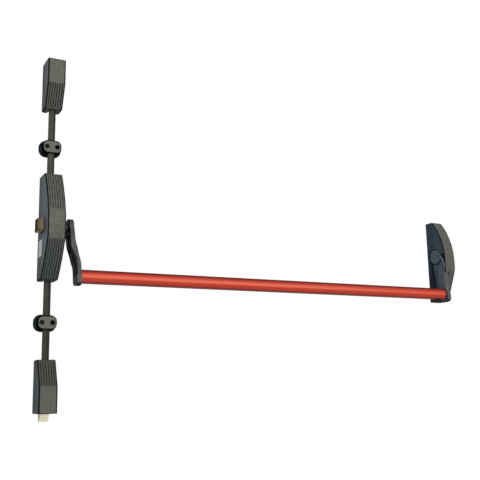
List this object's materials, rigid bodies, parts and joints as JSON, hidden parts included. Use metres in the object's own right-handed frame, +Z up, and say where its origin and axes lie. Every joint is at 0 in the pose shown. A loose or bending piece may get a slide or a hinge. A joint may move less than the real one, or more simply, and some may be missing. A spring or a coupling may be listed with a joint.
{
  "type": "panic bar",
  "caption": "Push bar exit device: a red bar on two cast arms works a side latch and two vertical rods with end bolts.",
  "frame": {"origin": "on the door plane, on the vertical rods' line, at half the height of the centre case", "axes": "+X along the push bar towards the far case, +Y into the door, +Z up"},
  "size_m": [1.1793, 0.091, 0.8265],
  "materials": {
    "black_texture": "fine textured satin black",
    "black_casting": "satin black over a casting",
    "red_powder_coat": "semi-gloss red powder coat",
    "rod_coating": "satin brown-black",
    "zinc_plate": "zinc plated, satin",
    "bronze": "worn bronze brown",
    "nickel_bolt": "satin nickel",
    "spindle_steel": "blackened steel",
    "spring_steel": "bright spring wire",
    "black_screw": "black oxide"
  },
  "bodies": {
    "base": {"centre_backplate": "zinc_plate", "centre_cover": "black_texture", "spindle_bush": "bronze", "latch_guide_pin": "zinc_plate", "latch_spring": "spring_steel", "rocker_pin": "zinc_plate", "centre_cover_screws": "black_screw", "top_cover": "black_texture", "top_backplate": "zinc_plate", "top_spring": "spring_steel", "top_cover_screws": "black_screw", "bottom_cover": "black_texture", "bottom_backplate": "zinc_plate", "bottom_spring": "spring_steel", "bottom_cover_screws": "black_screw", "upper_guide": "black_casting", "upper_guide_screws": "black_screw", "lower_guide": "black_casting", "lower_guide_screws": "black_screw", "far_cover": "black_texture", "far_backplate": "zinc_plate", "far_cover_screws": "black_screw"},
    "push_bar_assembly": {"push_bar": "red_powder_coat", "left_arm": "black_casting", "right_arm": "black_casting", "bar_screws": "black_screw", "arm_grub_screws": "black_screw", "centre_spindle": "spindle_steel", "far_spindle": "spindle_steel", "drive_lever": "zinc_plate"},
    "upper_rod_assembly": {"upper_rod": "rod_coating", "upper_slider": "zinc_plate", "top_bolt": "nickel_bolt"},
    "lower_rod_assembly": {"lower_rod": "rod_coating", "lower_slider": "zinc_plate", "bottom_bolt": "nickel_bolt"},
    "latch": {"side_latch": "bronze", "latch_pin": "zinc_plate"},
    "reversing_lever_body": {"reversing_lever": "zinc_plate"}
  },
  "joints": [
    {"name": "push", "type": "hinge", "parent": "base", "child": "push_bar_assembly", "pos_m": [0, -0.029, 0], "axis": [1, 0, 0], "range_deg": [0, 18], "stiffness_Nm_per_rad": 3, "springref_deg": -28.65},
    {"name": "upper_rod_slide", "type": "slide", "parent": "base", "child": "upper_rod_assembly", "axis": [0, 0, -1], "range_m": [0, 0.0142], "deforming": ["top_spring"]},
    {"name": "lower_rod_slide", "type": "slide", "parent": "base", "child": "lower_rod_assembly", "axis": [0, 0, 1], "range_m": [0, 0.0178], "deforming": ["bottom_spring"]},
    {"name": "latch_slide", "type": "slide", "parent": "base", "child": "latch", "axis": [1, 0, 0], "range_m": [0, 0.0131], "deforming": ["latch_spring"]},
    {"name": "reversing_lever_turn", "type": "hinge", "parent": "base", "child": "reversing_lever_body", "pos_m": [0, -0.034, -0.06], "axis": [1, 0, 0], "range_deg": [0, 62.6]}
  ],
  "couplings": [
    {"joint": "upper_rod_slide", "follows": "push", "m_per_rad": 0.044815},
    {"joint": "lower_rod_slide", "follows": "push", "m_per_rad": 0.056019},
    {"joint": "latch_slide", "follows": "push", "m_per_rad": 0.04138},
    {"joint": "reversing_lever_turn", "follows": "push", "ratio": 3.4636}
  ]
}
